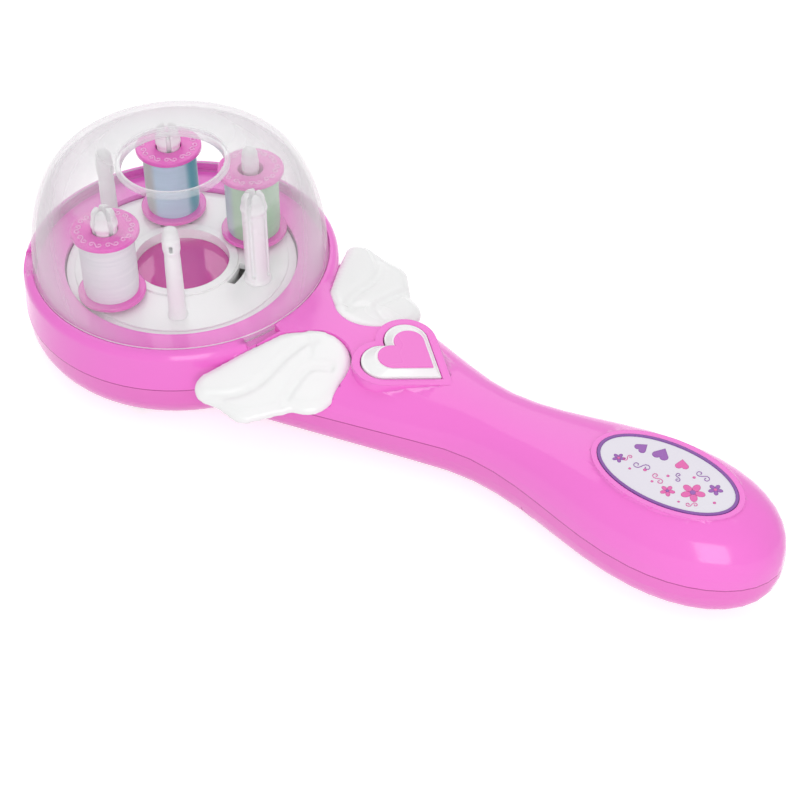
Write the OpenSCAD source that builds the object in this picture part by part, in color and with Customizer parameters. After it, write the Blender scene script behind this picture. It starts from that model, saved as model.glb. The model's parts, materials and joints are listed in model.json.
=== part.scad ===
// Automatic hair braider: a round head with a turning carrier of thread spools under a
// clear dome, and a handle with the motor, the heart button and the batteries.
// Millimetres, +Z up. The origin is on the resting plane, under the head's axis.
// The handle runs along +X. The shells meet on a level seam.

/* [Head] */
// Outer radius of the head at the seam
head_r = 55; // [53:0.5:60]
// Height of the seam above the resting plane
seam_z = 17; // [16:0.5:20]
// Height of the deck above the seam
deck_h = 15; // [14.5:0.5:18]
// Wall thickness of both shells
wall = 2.2; // [1.6:0.1:2.6]
// Radius of the rounding along the head's lower edge
base_round = 13; // [10:0.5:15]
// Radius of the rounding at the head's shoulder
shoulder_round = 3.4; // [2:0.1:4]
// Depth of the seat that the dome stands in
seat_h = 3; // [2:0.1:3.6]
// Gap between pieces that move past each other
gap = 0.4; // [0.3:0.05:0.6]

/* [Handle] */
// Distance from the head's axis to the narrowest part of the neck
neck_x = 131; // [126:1:140]
// Half the width of the neck
neck_w = 13.9; // [13:0.1:17]
// Height of the neck's top above the seam
neck_h = 13.2; // [12.5:0.1:15]
// Depth of the neck's underside below the seam
neck_low = 15.8; // [14.5:0.1:17]
// Half the width of the handle where it leaves the head
root_w = 32.7; // [30:0.1:36]
// Distance from the head's axis to the widest part of the grip
grip_x = 195; // [193:1:205]
// Half the width of the grip
grip_w = 24.2; // [23.5:0.1:28]
// Height of the grip's top above the seam
grip_h = 19.6; // [18.5:0.1:24]
// Length of the rounded tail past the widest part of the grip
tail_l = 38.4; // [36:0.2:44]

/* [Dome] */
// Outer radius of the dome at its foot
dome_r = 51; // [49:0.1:51.5]
// Height of the dome's shoulder above its foot
dome_h = 38.2; // [38:0.1:46]
// How far the dome's side leans in by its shoulder
dome_lean = 13; // [11:0.1:17]
// Wall thickness of the dome
dome_wall = 1.5; // [1.2:0.1:2]
// Inner radius of the mouth in the top of the dome
mouth_r = 17.4; // [14:0.1:20]
// Height of the collar round the mouth
mouth_h = 2.4; // [1:0.1:4]
// Width of each bayonet notch in the lip
notch_w = 12.6; // [9:0.1:15]
// Depth of each bayonet notch, outwards from the dome
notch_d = 3; // [2.4:0.1:3.2]

/* [Carrier] */
// Radius of the carrier disc
disc_r = 39.8; // [37.5:0.1:40]
// Thickness of the carrier disc
disc_t = 2.5; // [2:0.1:3]
// Depth of the disc's top below the dome's seat
disc_drop = 1.2; // [0.8:0.1:1.6]
// Inner radius of the hub, seen as the hole in the disc
hub_r = 16.5; // [15:0.1:17.5]
// Wall thickness of the hub
hub_wall = 3; // [2:0.1:3.2]
// Depth of the blind floor in the hub below the disc's top
floor_drop = 3.3; // [2.5:0.1:6]
// Radius of the circle that the six posts stand on
post_circle = 28.7; // [28:0.1:30]
// Height of the posts above the disc
post_h = 37; // [33:0.5:38]
// Radius of a spool post's shaft
spool_post_r = 4.2; // [3.6:0.1:4.6]
// Radius of a guide post's shaft
guide_post_r = 2.9; // [2.4:0.1:3.4]
// Angle from a spool post to the guide post that follows it
post_step = 52; // [50:1:70]

/* [Spools] */
// Radius of a spool's flanges
spool_r = 11.5; // [10:0.1:11.8]
// Height of a spool
spool_h = 27.2; // [22:0.1:28]
// Thickness of a spool's flanges
flange_t = 1.7; // [1.2:0.1:2.5]
// Radius of the wound thread
thread_r = 9.4; // [6.5:0.1:9.8]
// Radius of a spool's barrel
barrel_r = 5.6; // [5.4:0.1:6.4]

/* [Gears] */
// Teeth on the drive ring under the disc
ring_teeth = 78; // [76:1:80]
// Teeth on each small gear of the train
pinion_teeth = 12; // [12:1:13]
// Teeth on the large wheel of the idler
wheel_teeth = 36; // [34:1:37]
// Teeth on the crown wheel
crown_teeth = 36; // [32:1:38]
// Teeth on the motor's pinion
motor_teeth = 10; // [10:1:12]
// Module of the drive ring and the gear that turns it
ring_mod = 0.8; // [0.78:0.01:0.82]
// Module of the idler's large wheel and the gear that turns it
wheel_mod = 0.7; // [0.66:0.01:0.72]
// Module of the crown wheel and the motor's pinion
crown_mod = 0.5; // [0.46:0.01:0.52]

/* [Motor] */
// Diameter of the motor's can
motor_d = 20; // [18:0.1:21]
// Height of the can across its flats
motor_flat = 15; // [14:0.1:15.4]
// Length of the can with its end cap
motor_l = 25; // [22:0.1:27]

/* [Batteries] */
// Diameter of a battery
cell_d = 14.5; // [13.5:0.1:14.5]
// Length of a battery with its nub
cell_l = 50.5; // [47:0.1:50.5]
// Distance from the head's axis to the batteries
cell_x = 165; // [164:0.5:166]
// Thickness of the battery holder's roof
holder_t = 1.8; // [1.4:0.1:2.4]

/* [Heart button] */
// Distance from the head's axis to the notch of the heart
heart_x = 87.4; // [85:0.1:90]
// Length of the heart from its notch to its tip
heart_l = 22.1; // [20:0.1:24]
// Half the width of the heart
heart_w = 13.7; // [12.5:0.1:14.2]
// Height of the button above its pad
heart_h = 3; // [2.6:0.1:4]
// Travel of the button
press = 1.5; // [1:0.1:2]
// Width of the pad round the heart
pad_w = 3; // [2:0.1:3.4]

/* [Wings and badge] */
// Thickness of a wing
wing_t = 2.4; // [2:0.1:3]
// Half the length of the badge
badge_a = 23.6; // [20:0.1:25]
// Half the width of the badge
badge_b = 13.1; // [11:0.1:14]
// Thickness of the badge
badge_t = 1.2; // [0.8:0.1:1.6]

/* [Hidden] */
$fn = 64;

tiny = 0.01;
through = 20;            // length of a small bore's cut, which runs right through
run = 0.06;              // radial clearance of a running fit
fit = 0.1;               // gap round a piece that is set into another
seat_gap = 0.1;          // gap under a piece that turns or lifts off

// --- heights ---
deck_z = seam_z + deck_h;
seat_z = deck_z - seat_h;
disc_z = seat_z - disc_drop;
disc_low = disc_z - disc_t;
floor_z = disc_z - floor_drop;

// --- plan and side outline of the handle ---
blend_l = 13;            // length of the curve between the flare and the neck
flare = (root_w - neck_w) / (neck_x - blend_l / 2 - head_r);
tail_x = grip_x + tail_l;
top_n = 2.6;             // fullness of the section above the seam
low_n = 3;               // fullness of the section below the seam
blank_x = head_r - 34;   // start of the handle's blank, inside the head
hollow_x = head_r - 25;  // start of its hollow
way_in = 12;             // the way between head and handle starts this far before the crown wheel
way_past = 1.8;          // and runs this far past the head's side
way_w = 40;
low_start = seam_z - 0.4; // depth of the underside where it leaves the head
neck_top_x = neck_x - 7; // the lowest place of the handle's top

function ease(t) = (1 - cos(180 * max(0, min(1, t)))) / 2;
function tail(x, n) = x < grip_x ? 1 : pow(max(0, 1 - pow((x - grip_x) / tail_l, n)), 1 / n);
function half_w(x) =
  x < neck_x - blend_l ? neck_w + flare * (neck_x - blend_l / 2 - x)
  : x < neck_x ? neck_w + flare * pow(neck_x - x, 2) / (2 * blend_l)
  : (neck_w + (grip_w - neck_w) * ease((x - neck_x) / (grip_x - neck_x))) * tail(x, 2);
function top_h(x) =
  x < neck_top_x ? deck_h + (neck_h - deck_h) * ease((x - heart_x + 9) / (heart_l + 12))
  : (neck_h + (grip_h - neck_h) * ease((x - neck_top_x) / (grip_x - 3 - neck_top_x))) * tail(x, 3);
function low_h(x) =
  x < neck_x ? low_start + (neck_low - low_start) * ease((x - head_r) / (neck_x - head_r))
  : (neck_low + (seam_z - neck_low) * ease((x - neck_x) / (grip_x - neck_x))) * tail(x, 3);

// Half a section across the handle, in by t from the surface: side 1 is the top, -1 the
// underside.
function half_section(x, side, t, steps) =
  let (w = half_w(x) - t, h = (side > 0 ? top_h(x) : low_h(x)) - t, n = side > 0 ? top_n : low_n)
  [for (i = [0:steps]) let (a = 180 * i / steps, c = cos(a), s = sin(a))
    [x, side * w * sign(c) * pow(abs(c), 2 / n), seam_z + side * h * pow(max(s, 0), 2 / n)]];
function stations(x0, t) = concat(
  [for (x = [x0:9:neck_x - blend_l]) x],
  [for (i = [0:8]) neck_x - blend_l + 3 + (grip_x - neck_x + blend_l - 3) * i / 8],
  [for (i = [1:9]) grip_x + (tail_l - t) * sin(90 * i / 9.35)],
  [tail_x - t - 0.03]);

// A closed skin over rings that have the same number of points.
module skin(rings) {
  n = len(rings[0]);
  m = len(rings);
  polyhedron(
    points = [for (r = rings) each r],
    faces = concat(
      [[for (i = [0:n - 1]) i]],
      [for (j = [0:m - 2], i = [0:n - 1]) let (k = (i + 1) % n)
        each [[j * n + i, (j + 1) * n + k, j * n + k], [j * n + i, (j + 1) * n + i, (j + 1) * n + k]]],
      [[for (i = [n - 1:-1:0]) (m - 1) * n + i]]),
    convexity = 6);
}
module handle_half(side, x0, t, steps) {
  skin([for (x = stations(x0, t)) half_section(x, side, t, steps)]);
}
// A round bar along a route.
function unit(v) = v / norm(v);
function bar_rings(path, r, sides) = let (m = len(path))
  [for (j = [0:m - 1])
    let (d = unit(path[min(j + 1, m - 1)] - path[max(j - 1, 0)]),
         u = unit(cross(abs(d.z) > 0.9 ? [1, 0, 0] : [0, 0, 1], d)), v = cross(d, u))
    [for (i = [0:sides - 1]) let (a = -360 * i / sides) path[j] + r * (cos(a) * u + sin(a) * v)]];
module bar(path, r, sides = 6) { skin(bar_rings(path, r, sides)); }
function helix(r, h, turns, per_turn) =
  [for (i = [0:turns * per_turn]) let (a = 360 * i / per_turn)
    [r * cos(a), r * sin(a), h * i / (turns * per_turn)]];

module tube(r_out, r_in, h) {
  difference() {
    cylinder(r = r_out, h = h);
    translate([0, 0, -tiny]) cylinder(r = r_in, h = h + 2 * tiny);
  }
}
module ring_of(angles) { for (a = angles) rotate([0, 0, a]) children(); }

// --- gears ---
gear_angle = 25;         // pressure angle
backlash = 0.14;
function inv(a) = tan(a) * 180 / PI - a;
function tooth_half(r, n, m) =
  let (rp = n * m / 2, rb = rp * cos(gear_angle), q = max(r, rb + 0.001))
  90 / n - backlash / 4 / rp * 180 / PI + inv(gear_angle) - inv(acos(rb / q));
function gear_points(n, m, flank) =
  let (rp = n * m / 2, radii = [for (f = flank) rp + f * m], last = len(flank) - 1)
  [for (k = [0:n - 1]) each concat(
    [for (i = [0:last]) let (a = 360 * k / n - tooth_half(radii[i], n, m)) radii[i] * [cos(a), sin(a)]],
    [for (i = [last:-1:0]) let (a = 360 * k / n + tooth_half(radii[i], n, m)) radii[i] * [cos(a), sin(a)]])];
module gear(n, m, h, turn = 0, flank = [-1.2, -0.5, 0.2, 0.95]) {
  rotate([0, 0, turn]) linear_extrude(height = h) polygon(gear_points(n, m, flank));
}

// --- the train: disc ring, idler, crown wheel, motor ---
function pitch_r(n, m) = n * m / 2;
idler_x = pitch_r(ring_teeth, ring_mod) + pitch_r(pinion_teeth, ring_mod);
crown_x = idler_x + pitch_r(wheel_teeth, wheel_mod) + pitch_r(pinion_teeth, wheel_mod);
crown_r = pitch_r(crown_teeth, crown_mod);
motor_z = seam_z + 0.6;
mesh_z = motor_z + pitch_r(motor_teeth, crown_mod);
plate_t = 2;
plate_z = seam_z;        // top of the gear plate
gear_low = plate_z + 0.3;
wheel_top = mesh_z - crown_mod - gap;
ring_low = wheel_top + 2;
crown_low = mesh_z + 1.25 * crown_mod;
crown_t = 1.7;
crown_face = 0.8;        // half the width of the crown's teeth
axle_r = 1;
axle_low = plate_z - plate_t;
pinion_x = crown_x + crown_r;
pinion_l = 3;
motor_x = pinion_x + 4.5;
motor_far = motor_x + motor_l;
cap_l = 3;               // length of the motor's end cap
shaft_in = 7;            // how far the shaft runs into the can
strap_w = 3.5;
half_pitch = 180;        // turns a gear by half a tooth, when divided by its teeth

// --- hub and its bearing ---
hub_out = hub_r + hub_wall;
hub_low = seam_z - 7;
hub_flange_r = hub_out + 3;
hub_flange_t = 2;
collar_h = 0.7;          // rise of the hub's rim above the disc
cup_wall = 2;
cup_screw_y = 9;

// --- screws ---
screw_r = 1.4;
screw_head_r = 2.8;
screw_head_h = 1.8;
boss_r = 4.6;
screw_seat = 6;          // height of the screw heads' seats
head_screw_r = head_r - 8;
head_screws = [70, 180, 290];
neck_screw_in = 13;      // from the neck back to its screw
tail_screw_in = 6.8;     // from the tail's end to its screw
neck_screw_x = neck_x - neck_screw_in;
tail_screw_x = tail_x - tail_screw_in;
screw_top = seat_z - 3.4;
screw_places = concat([for (a = head_screws) head_screw_r * [cos(a), sin(a)]],
  [[neck_screw_x, 0], [tail_screw_x, 0]]);
plate_post_r = 2.6;
plate_post_circle = hub_flange_r + plate_post_r + 1.5;
plate_arm_y = [motor_d / 2 + 0.4, motor_d / 2 + 5.2];
plate_screws_at = concat([for (a = [120, 240]) plate_post_circle * [cos(a), sin(a)]],
  [for (s = [-1, 1]) [motor_far, s * 12.7]]);

// --- heart button ---
pad_rise = 0.7;          // height of the pad's head end above the deck
pad_fall = 2.1;          // how much lower its tip end is
pad_tilt = atan(pad_fall / heart_l);
pad_t = 3.4;
lobe_r = heart_w * 0.53;
lobe_y = heart_w - lobe_r;
lobe_x = sqrt(lobe_r * lobe_r - lobe_y * lobe_y);
button_t = 3.2;          // thickness of the button below the pad's top
button_top_scale = 0.745;
cap_t = 0.5;
lip_low = 5.4;           // depth of the retaining lip's underside below the pad's top
lip_t = 1.2;
lip_from = heart_l * 0.55;
switch_x = heart_x + heart_l * 0.63;
switch_w = 8;
board_z = seam_z - 3;
board_t = 1.2;
switch_h = 6.5;
switch_top = board_z + switch_h;
plunger_r = 1.8;
plunger_top = switch_top + 2.1;
stem_r = 2.6;
spring_seat_r = 5.2;
spring_drop = 6.6;       // depth of the spring's top below the deck
spring_top = deck_z - spring_drop;
spring_r = 4.1;
spring_wire = 0.35;

// --- batteries ---
cell_r = cell_d / 2;
cell_y = cell_r + 0.15;
cell_z = seam_z - 5.6;
cell_end = cell_x + cell_l;
nub_l = 1.2;
nub_r = 2.75;
contact_gap = 3.6;       // room for a contact in front of a battery
contact_t = 0.4;
roof_low = cell_z + cell_r + 0.25;
roof_top = roof_low + holder_t;
holder_side = 1.3;
holder_w = cell_y + cell_r + 0.2 + holder_side;
holder_x = cell_x - 24;
holder_end = cell_end + contact_gap + 1.2;
door_x0 = cell_x - 14;
door_x1 = holder_end + 0.6;
door_w = cell_y + cell_r + 0.8;
door_gap = 0.25;
door_screw_x = door_x0 + 5;
door_seat = 5;           // height of the door screw's seat

// --- badge ---
badge_x = grip_x - 2.4;
badge_z = seam_z + grip_h - 1.1;  // top of the flat that holds the badge
badge_border = 2;
rim_w = 1;

// --- wings ---
wing_slope_x = 0.13;
wing_slope_y = 0.249;
wing_z = deck_z + 9.4;   // height of a wing's top plane over the origin
// Rounds of a wing's feathers: distance along the handle, distance from its middle, radius.
wing_root = [69.5, 17.5, 13.3];
feather_1 = [[46.8, 41.5, 5.2], [53.5, 30, 6.8], [60.8, 18, 8]];
feather_2 = [[59.5, 39.5, 6.7], [66, 30, 8]];
feather_3 = [72.7, 23.3, 9.8];
feather_web = [52.9, 40.6, 5];  // joins the tips of the first two feathers
wing_pairs = [[feather_1[0], feather_1[1]], [feather_1[1], feather_1[2]], [feather_1[2], wing_root],
  feather_2, [feather_2[1], wing_root], [feather_3, wing_root],
  [feather_1[0], feather_web], [feather_web, feather_2[0]]];
wing_mid = [62, 26];
link_bite = 0.05;
wing_rise = 0.8;         // height of the raised middle over a wing's rim
wing_rim = 1.8;          // width of that rim
pocket_t = 1.4;          // wall below the pocket that a wing lies in
peg_at = [66, 17.5];
peg_r = 2;
peg_h = 4.5;
peg_low = wing_z - wing_slope_x * peg_at.x - wing_slope_y * peg_at.y - wing_t - peg_h + 1;

// --- dome ---
dome_foot_z = seat_z + seat_gap;
notches = [-20, 100, 220];
lug_t = 1.5;
lug_w = notch_w - 2;
lug_d = notch_d - 0.6;

// --- colours ---
pink = "#f987db";
deep_pink = "#eb7dcc";
hot_pink = "#d93fb0";
white = "#f4f4f4";
clear = [0.93, 0.95, 0.96, 0.35];
steel = "#b8bcc0";
black = "#26262a";

// ---------- wing outline ----------
// Two rounds with the straight piece that joins them, whose sides cut into both by a little.
module link(a, b, grow) {
  d = [b.x - a.x, b.y - a.y];
  turn = atan2(d.y, d.x);
  lean = acos((a.z - b.z) / norm(d));
  side = function (c, t) [c.x, c.y] + (c.z + grow - link_bite) * [cos(t), sin(t)];
  for (c = [a, b]) translate([c.x, c.y]) circle(r = c.z + grow);
  polygon([side(a, turn - lean), side(b, turn - lean), side(b, turn + lean), side(a, turn + lean)]);
}
module wing_plan(grow) { for (pair = wing_pairs) link(pair[0], pair[1], grow); }
module on_wing() {
  translate([wing_mid.x, wing_mid.y, wing_z - wing_slope_x * wing_mid.x - wing_slope_y * wing_mid.y])
    rotate([-atan(wing_slope_y), atan(wing_slope_x), 0]) children();
}
// The wing's outline, from deep below its top plane to up above it.
module wing_layer(grow, deep, up) {
  intersection() {
    linear_extrude(height = deck_z + deck_h) wing_plan(grow);
    on_wing() translate([-60, -60, -deep]) cube([120, 120, deep + up]);
  }
}
module both_sides() { for (s = [0, 1]) mirror([0, s, 0]) children(); }

// ---------- shells ----------
module head_top() {
  rotate_extrude($fn = 128) polygon(concat([[0, seam_z], [head_r, seam_z]],
    [for (a = [0:10:90]) [head_r - 0.6 - shoulder_round * (1 - cos(a)),
      deck_z - shoulder_round * (1 - sin(a))]],
    [[0, deck_z]]));
}
module head_base() {
  rotate_extrude($fn = 128) polygon(concat([[0, 0]],
    [for (a = [0:10:90]) [head_r - 0.5 - base_round * (1 - sin(a)), base_round * (1 - cos(a))]],
    [[head_r, seam_z], [0, seam_z]]));
}
module heart_shape(grow = 0) {
  r = lobe_r + grow;
  tip = heart_l + grow * 1.6;
  d = norm([tip - lobe_x, lobe_y]);
  a = atan2(lobe_y, lobe_x - tip) - asin(r / d);
  side = [tip + sqrt(d * d - r * r) * cos(a), sqrt(d * d - r * r) * sin(a)];
  for (s = [-1, 1]) translate([lobe_x, s * lobe_y]) circle(r = r, $fn = 72);
  polygon([[tip, 0], side, [lobe_x, lobe_y], [lobe_x, -lobe_y], [side.x, -side.y]]);
}
module on_pad() { translate([heart_x, 0, deck_z + pad_rise]) rotate([0, pad_tilt, 0]) children(); }
module oval(a, b, h) {
  linear_extrude(height = h) polygon([for (i = [0:71]) [a * cos(5 * i), b * sin(5 * i)]]);
}
module screw_boss(at, z0, z1, r) { translate([at.x, at.y, z0]) cylinder(r = r, h = z1 - z0); }
module screw_tower(places, r, top) { for (p = places) screw_boss(p, 1, top, r); }
module upper_shell() {
  color(pink) difference() {
    union() {
      difference() {
        union() {
          head_top();
          handle_half(1, 21, 0, 22);
          on_pad() translate([0, 0, -pad_t]) linear_extrude(height = pad_t) heart_shape(pad_w);
          translate([badge_x, 0, badge_z - 3]) oval(badge_a + badge_border, badge_b + badge_border, 3);
        }
        // inside of the head and of the handle, and the way between them
        translate([0, 0, seam_z - tiny]) cylinder(r = head_r - wall, h = seat_z - wall - seam_z, $fn = 128);
        difference() {
          handle_half(1, head_r - wall + 0.8, wall, 16);
          on_pad() translate([0, 0, -pad_t]) linear_extrude(height = pad_t) heart_shape(pad_w - 0.6);
        }
        translate([crown_x - way_in, -way_w / 2, seam_z - tiny])
          cube([head_r + way_past - crown_x + way_in, way_w, seat_z - wall - seam_z]);
        // seat and notches of the dome, well of the disc
        translate([0, 0, seat_z]) linear_extrude(height = deck_h) {
          circle(r = dome_r + gap, $fn = 128);
          ring_of(notches) translate([dome_r - 2, -notch_w / 2]) square([gap + notch_d + 2, notch_w]);
        }
        translate([0, 0, disc_low]) cylinder(r = disc_r + 0.5, h = deck_h, $fn = 128);
      }
      intersection() {
        for (p = screw_places) screw_boss(p, seam_z, deck_z + deck_h, screw_r + 2.2);
        union() {
          cylinder(r = head_r - 2, h = seat_z - wall / 2);
          handle_half(1, head_r + 20, wall / 2, 12);
        }
      }
      screw_boss([crown_x, 0], crown_low + crown_t + 0.4, seat_z - wall + 0.6, 3);
      intersection() {
        both_sides() wing_layer(0.9, wing_t + pocket_t, 0.4 - wing_t);
        union() {
          translate([0, 0, seam_z]) cylinder(r = head_r - 1, h = deck_h - shoulder_round);
          handle_half(1, head_r - 20, 0.3, 14);
        }
      }
    }
    both_sides() wing_layer(fit, wing_t + fit / 2, 20);
    for (p = screw_places) screw_boss(p, seam_z - 1, screw_top - 0.5, screw_r + 0.05);
    screw_boss([crown_x, 0], crown_low, seat_z - wall, axle_r + 0.02);
    on_pad() translate([0, 0, -deck_h / 2]) linear_extrude(height = deck_h) heart_shape(gap);
    translate([badge_x, 0, badge_z]) oval(badge_a + badge_border, badge_b + badge_border, 5);
    translate([badge_x, 0, badge_z - badge_t]) oval(badge_a + 0.15, badge_b + 0.15, 5);
    for (s = [-1, 1]) translate([peg_at.x, s * peg_at.y, peg_low - 1]) cylinder(r = peg_r + 0.02, h = deck_h);
  }
}
module lower_blank() {
  difference() {
    union() {
      head_base();
      handle_half(-1, blank_x, 0, 22);
    }
    rotate_extrude($fn = 128) polygon(concat([[0, wall]],
      [for (a = [0:10:90]) [head_r - 0.5 - base_round + (base_round - wall) * sin(a),
        base_round - (base_round - wall) * cos(a)]],
      [[head_r - 0.5 - wall, seam_z + 1], [0, seam_z + 1]]));
    handle_half(-1, hollow_x, wall, 16);
  }
}
module door_cut(g) {
  translate([door_x0 + g, -door_w + g, -1]) cube([door_x1 - door_x0 - 2 * g, 2 * (door_w - g), cell_z]);
}
module lower_shell() {
  color(deep_pink) difference() {
    union() {
      difference() {
        lower_blank();
        door_cut(0);
      }
      intersection() {
        union() {
          screw_tower(screw_places, boss_r, seam_z);
          screw_tower(plate_screws_at, plate_post_r, plate_z - plate_t);
          screw_tower([for (x = [switch_x - 5.5, switch_x + 6], y = [-6, 6]) [x, y]], 1.8, board_z - board_t);
          translate([0, 0, 1]) tube(hub_flange_r - 1, hub_r + 0.8, hub_low - 0.2 - 1);
          // cradle of the motor
          for (x = [motor_x + 4, motor_far - 7]) translate([x, -motor_d / 2 + 1, 1])
            cube([2.4, motor_d - 2, motor_z - motor_flat / 2 - 1]);
        }
        union() {
          head_base();
          handle_half(-1, head_r - 10, 0.4, 12);
        }
      }
    }
    for (p = screw_places) {
      screw_boss(p, -1, screw_seat + screw_head_h + 0.1, screw_head_r + 0.1);
      screw_boss(p, -1, seam_z + 1, screw_r + 0.05);
    }
    for (s = [-1, 1]) {
      screw_boss([0, s * cup_screw_y], -1, wall / 2, screw_head_r + 0.1);
      screw_boss([0, s * cup_screw_y], -1, wall + 1, screw_r + 0.05);
    }
    for (p = plate_screws_at) screw_boss(p, wall + 1, seam_z, 1.05);
  }
}

// ---------- dome ----------
dome_crown = 3;          // rise of the dome's top, if it ran on to the axis
post_room = 1;           // least room between the posts' tops and the dome
dome_rise = max(dome_h, disc_z + post_h + post_room + dome_wall - dome_foot_z);
mouth_z = dome_foot_z + dome_rise + dome_crown * (1 - mouth_r / (dome_r - dome_lean));
// Outline of the dome from its foot to the mouth, in by t.
function dome_outline(t) = concat(
  [for (a = [0:7.5:90]) [dome_r - t - dome_lean * (1 - cos(a)), dome_foot_z + (dome_rise - t) * sin(a)]],
  [[mouth_r, mouth_z - t]]);
function backwards(list) = [for (i = [len(list) - 1:-1:0]) list[i]];
module dome_cover() {
  color(clear) union() {
    rotate_extrude($fn = 128) polygon(concat(dome_outline(0), backwards(dome_outline(dome_wall))));
    translate([0, 0, mouth_z - dome_wall]) tube(mouth_r + dome_wall, mouth_r, mouth_h + dome_wall, $fn = 96);
    intersection() {
      translate([0, 0, dome_foot_z]) tube(dome_r + lug_d, dome_r - dome_wall, lug_t, $fn = 96);
      ring_of(notches) translate([dome_r - 4, -lug_w / 2, 0]) cube([10, lug_w, deck_z]);
    }
  }
}

// ---------- carrier ----------
spool_angle = -104.7;
spool_angles = [for (k = [0:2]) spool_angle + 120 * k];
guide_angles = [for (a = spool_angles) a + post_step];
plug_r = 2.4;
spool_z = seat_z + 0.2;  // a spool's flange turns just above the dome's seat
foot_h = spool_z - 0.1 - disc_z;
spool_bore = max(spool_post_r, guide_post_r) + run;
foot_r = spool_bore + 0.5;
barb = 0.4;              // how far a barb stands out from its post
spool_places = [spool_angles[0], spool_angles[2], guide_angles[1]];
step_r = 2.8;            // width of the disc's lower rim
step_h = 0.6;
module at_post(a) { rotate([0, 0, a]) translate([post_circle, 0, 0]) children(); }
module carrier_disc() {
  color(white) difference() {
    union() {
      translate([0, 0, disc_low]) cylinder(r = disc_r, h = disc_t - step_h, $fn = 128);
      translate([0, 0, disc_low]) cylinder(r = disc_r - step_r, h = disc_t, $fn = 128);
      translate([0, 0, hub_low]) cylinder(r = hub_out, h = disc_z + collar_h - hub_low, $fn = 96);
      translate([0, 0, hub_low]) cylinder(r = hub_flange_r, h = hub_flange_t, $fn = 96);
    }
    translate([0, 0, hub_low - 1]) cylinder(r = hub_r, h = disc_z, $fn = 96);
    for (a = concat(spool_angles, guide_angles)) at_post(a)
      translate([0, 0, disc_low - 1]) cylinder(r = plug_r, h = disc_t + 2);
    // moulding slot between the hub and each spool post
    for (a = spool_angles) rotate([0, 0, a]) translate([0, 0, disc_low - 1]) difference() {
      cylinder(r = post_circle - 5.8, h = disc_t + 2);
      cylinder(r = hub_out + 0.6, h = disc_t + 2);
      for (s = [-1, 1]) translate([-50, s > 0 ? 5.5 : -105.5, -1]) cube([100, 100, 10]);
      translate([-60, -50, -1]) cube([60, 100, 10]);
    }
  }
}
module drive_ring() {
  color(white) translate([0, 0, ring_low]) difference() {
    gear(ring_teeth, ring_mod, disc_low - ring_low, 0, [-1.2, 0, 0.95]);
    translate([0, 0, -1]) cylinder(r = pitch_r(ring_teeth, ring_mod) - 4.2, h = disc_low, $fn = 96);
  }
}
// A split post with snap barbs, which holds a spool.
module spool_post(k) {
  barb_z = spool_z + spool_h + 0.6;
  top = disc_z + post_h;
  color(white) at_post(spool_angles[k]) difference() {
    union() {
      translate([0, 0, disc_low]) cylinder(r = plug_r, h = disc_t + tiny);
      rotate_extrude() polygon([[0, disc_z], [foot_r, disc_z], [foot_r, disc_z + foot_h],
        [spool_post_r, disc_z + foot_h], [spool_post_r, barb_z],
        [spool_post_r + barb, barb_z + 0.2], [spool_post_r + barb, barb_z + 1.2],
        [spool_post_r, top - 4.4], [spool_post_r - 0.3, top - 2.4], [spool_post_r - 1.2, top - 0.7],
        [spool_post_r - 2.4, top], [0, top]]);
    }
    for (t = [0, 90]) rotate([0, 0, t]) translate([-0.7, -10, spool_z + spool_h / 3]) cube([1.4, 20, post_h]);
  }
}
// A plain post with an eyelet, which guides the hair and the thread.
module guide_post(k) {
  top = disc_z + post_h;
  color(white) at_post(guide_angles[k]) difference() {
    union() {
      translate([0, 0, disc_low]) cylinder(r = plug_r, h = disc_t + tiny);
      rotate_extrude() polygon([[0, disc_z], [foot_r, disc_z], [foot_r, disc_z + foot_h],
        [guide_post_r, disc_z + foot_h], [guide_post_r - 0.3, top - 9], [guide_post_r + 0.3, top - 6],
        [guide_post_r + 0.3, top - 3], [guide_post_r - 0.3, top - 1.3], [guide_post_r - 1.4, top - 0.3], [0, top]]);
    }
    translate([-10, -0.55, top - 9.5]) cube([20, 1.1, 3]);
  }
}
module spool(k) {
  color(pink) at_post(spool_places[k]) translate([0, 0, spool_z]) difference() {
    union() {
      cylinder(r = spool_r, h = flange_t);
      cylinder(r = barrel_r, h = spool_h);
      translate([0, 0, spool_h - flange_t]) cylinder(r = spool_r, h = flange_t);
    }
    translate([0, 0, -1]) cylinder(r = spool_bore, h = spool_h + 2);
  }
}
thread_colours = ["#ececec", "#a9bfcd", "#abc6b2"];
module thread(k) {
  color(thread_colours[k]) at_post(spool_places[k]) translate([0, 0, spool_z + flange_t])
    tube(thread_r, barrel_r, spool_h - 2 * flange_t);
}

// ---------- bearing, gears, motor ----------
module centre_cup() {
  r = hub_r - run;
  color(hot_pink) difference() {
    translate([0, 0, wall]) cylinder(r = r, h = floor_z - wall, $fn = 96);
    translate([0, 0, wall - 1]) difference() {
      cylinder(r = r - cup_wall, h = floor_z - cup_wall - wall + 1, $fn = 96);
      for (s = [-1, 1]) translate([0, s * cup_screw_y, -1]) cylinder(r = 3, h = floor_z);
    }
    for (s = [-1, 1]) translate([0, s * cup_screw_y, wall - 1]) cylinder(r = screw_r + 0.05, h = 8);
  }
}
module screw(l, head_h = screw_head_h) {
  difference() {
    union() {
      cylinder(r = screw_head_r, h = head_h);
      cylinder(r = screw_r, h = l);
    }
    for (t = [0, 90]) rotate([0, 0, t]) translate([-1.8, -0.35, -0.1]) cube([3.6, 0.7, head_h * 0.55]);
  }
}
module cup_screws() {
  head = wall / 2 - 0.1;
  color(steel) for (s = [-1, 1]) translate([0, s * cup_screw_y, wall / 2 - head]) screw(7, head);
}
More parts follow.
